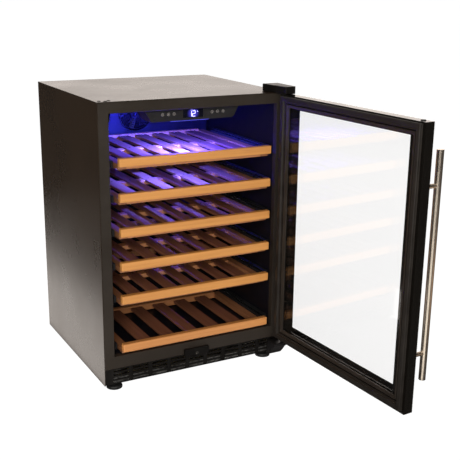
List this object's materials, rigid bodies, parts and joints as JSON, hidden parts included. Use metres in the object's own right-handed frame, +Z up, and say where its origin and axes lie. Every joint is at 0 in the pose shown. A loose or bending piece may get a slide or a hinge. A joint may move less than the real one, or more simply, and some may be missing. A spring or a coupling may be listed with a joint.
{
  "type": "wine cooler",
  "caption": "Under-counter wine cooler: foamed cabinet, hinged glass door with bar handle, sliding beech racks on runners, recessed control panel.",
  "frame": {"origin": "centre of the base pan's stamped flat, on the cabinet's underside, 22 mm above the feet's soles", "axes": "+Z up, -Y out of the front, +X to the door's hinge side as seen from the front"},
  "size_m": [0.6884, 1.161, 0.874],
  "materials": {
    "casing_paint": "satin dark bronze powder coat",
    "zinc_steel": "zinc-plated sheet",
    "black_steel": "black enamel",
    "handle_steel": "brushed lengthwise",
    "black_plastic": "fine grain",
    "liner_plastic": "smooth black liner",
    "door_gloss": "gloss black",
    "foam": "rigid foam",
    "light_diffuser": "frosted, lit blue-white",
    "display_glass": "dark window over a lit display",
    "outer_glass": "lightly tinted, black printed border",
    "inner_glass": "clear",
    "rubber": "matt",
    "beech_front": "lacquered beech",
    "beech_slats": "brown-stained beech"
  },
  "bodies": {
    "cabinet": {"outer_casing": "casing_paint", "front_frame": "casing_paint", "rear_panel": "casing_paint", "base_pan": "zinc_steel", "upper_hinge_bracket": "zinc_steel", "compressor": "black_steel", "condenser": "black_steel", "lower_hinge_bracket": "black_steel", "fan_motor": "black_steel", "insulation_foam": "foam", "inner_liner": "liner_plastic", "control_panel": "liner_plastic", "evaporator_cover": "liner_plastic", "vent_grille": "black_plastic", "upper_hinge_cover": "black_plastic", "lock_housing": "black_plastic", "mains_inlet": "black_plastic", "display_window": "display_glass", "light_cover": "light_diffuser", "runner_1_left": "black_steel", "runner_1_right": "black_steel", "runner_2_left": "black_steel", "runner_2_right": "black_steel", "runner_3_left": "black_steel", "runner_3_right": "black_steel", "runner_4_left": "black_steel", "runner_4_right": "black_steel", "runner_5_left": "black_steel", "runner_5_right": "black_steel", "runner_6_left": "black_steel", "runner_6_right": "black_steel"},
    "door": {"door_frame": "door_gloss", "door_glass_outer": "outer_glass", "door_glass_inner": "inner_glass", "door_gasket": "rubber", "door_handle": "handle_steel"},
    "lock": {"lock_barrel": "zinc_steel"},
    "fan": {"circulation_fan": "black_plastic"},
    "shelf_1": {"shelf_rack_1": "beech_slats", "shelf_front_1": "beech_front"},
    "shelf_2": {"shelf_rack_2": "beech_slats", "shelf_front_2": "beech_front"},
    "shelf_3": {"shelf_rack_3": "beech_slats", "shelf_front_3": "beech_front"},
    "shelf_4": {"shelf_rack_4": "beech_slats", "shelf_front_4": "beech_front"},
    "shelf_5": {"shelf_rack_5": "beech_slats", "shelf_front_5": "beech_front"},
    "shelf_6": {"shelf_rack_6": "beech_slats", "shelf_front_6": "beech_front"},
    "key_power_cap": {"key_power": "black_plastic"},
    "key_light_cap": {"key_light": "black_plastic"},
    "key_scale_cap": {"key_scale": "black_plastic"},
    "key_up_cap": {"key_up": "black_plastic"},
    "key_down_cap": {"key_down": "black_plastic"},
    "key_set_cap": {"key_set": "black_plastic"},
    "foot_front_left_leveller": {"foot_front_left": "rubber"},
    "foot_front_right_leveller": {"foot_front_right": "rubber"},
    "foot_rear_left_leveller": {"foot_rear_left": "rubber"},
    "foot_rear_right_leveller": {"foot_rear_right": "rubber"}
  },
  "joints": [
    {"name": "door_hinge", "type": "hinge", "parent": "cabinet", "child": "door", "pos_m": [0.2863, -0.3067, 0.445], "axis": [0, 0, 1], "range_deg": [-93.4, 22]},
    {"name": "shelf_1_slide", "type": "slide", "parent": "cabinet", "child": "shelf_1", "axis": [0, -1, 0], "range_m": [0, 0.28]},
    {"name": "shelf_2_slide", "type": "slide", "parent": "cabinet", "child": "shelf_2", "axis": [0, -1, 0], "range_m": [0, 0.28]},
    {"name": "shelf_3_slide", "type": "slide", "parent": "cabinet", "child": "shelf_3", "axis": [0, -1, 0], "range_m": [0, 0.28]},
    {"name": "shelf_4_slide", "type": "slide", "parent": "cabinet", "child": "shelf_4", "axis": [0, -1, 0], "range_m": [0, 0.28]},
    {"name": "shelf_5_slide", "type": "slide", "parent": "cabinet", "child": "shelf_5", "axis": [0, -1, 0], "range_m": [0, 0.28]},
    {"name": "shelf_6_slide", "type": "slide", "parent": "cabinet", "child": "shelf_6", "axis": [0, -1, 0], "range_m": [0, 0.22]},
    {"name": "key_power_press", "type": "slide", "parent": "cabinet", "child": "key_power_cap", "axis": [0, 1, 0], "range_m": [0, 0.001], "stiffness_N_per_m": 400, "springref_m": -0.001},
    {"name": "key_light_press", "type": "slide", "parent": "cabinet", "child": "key_light_cap", "axis": [0, 1, 0], "range_m": [0, 0.001], "stiffness_N_per_m": 400, "springref_m": -0.001},
    {"name": "key_scale_press", "type": "slide", "parent": "cabinet", "child": "key_scale_cap", "axis": [0, 1, 0], "range_m": [0, 0.001], "stiffness_N_per_m": 400, "springref_m": -0.001},
    {"name": "key_up_press", "type": "slide", "parent": "cabinet", "child": "key_up_cap", "axis": [0, 1, 0], "range_m": [0, 0.001], "stiffness_N_per_m": 400, "springref_m": -0.001},
    {"name": "key_down_press", "type": "slide", "parent": "cabinet", "child": "key_down_cap", "axis": [0, 1, 0], "range_m": [0, 0.001], "stiffness_N_per_m": 400, "springref_m": -0.001},
    {"name": "key_set_press", "type": "slide", "parent": "cabinet", "child": "key_set_cap", "axis": [0, 1, 0], "range_m": [0, 0.001], "stiffness_N_per_m": 400, "springref_m": -0.001},
    {"name": "lock_turn", "type": "hinge", "parent": "cabinet", "child": "lock", "pos_m": [-0.0025, -0.275, 0.053], "axis": [0, -1, 0], "range_deg": [0, 90]},
    {"name": "fan_spin", "type": "hinge", "parent": "cabinet", "child": "fan", "pos_m": [0, 0.196, 0.72], "axis": [0, -1, 0], "continuous": true},
    {"name": "foot_front_left_level", "type": "slide", "parent": "cabinet", "child": "foot_front_left_leveller", "axis": [0, 0, -1], "range_m": [0, 0.02]},
    {"name": "foot_front_right_level", "type": "slide", "parent": "cabinet", "child": "foot_front_right_leveller", "axis": [0, 0, -1], "range_m": [0, 0.02]},
    {"name": "foot_rear_left_level", "type": "slide", "parent": "cabinet", "child": "foot_rear_left_leveller", "axis": [0, 0, -1], "range_m": [0, 0.02]},
    {"name": "foot_rear_right_level", "type": "slide", "parent": "cabinet", "child": "foot_rear_right_leveller", "axis": [0, 0, -1], "range_m": [0, 0.02]}
  ]
}
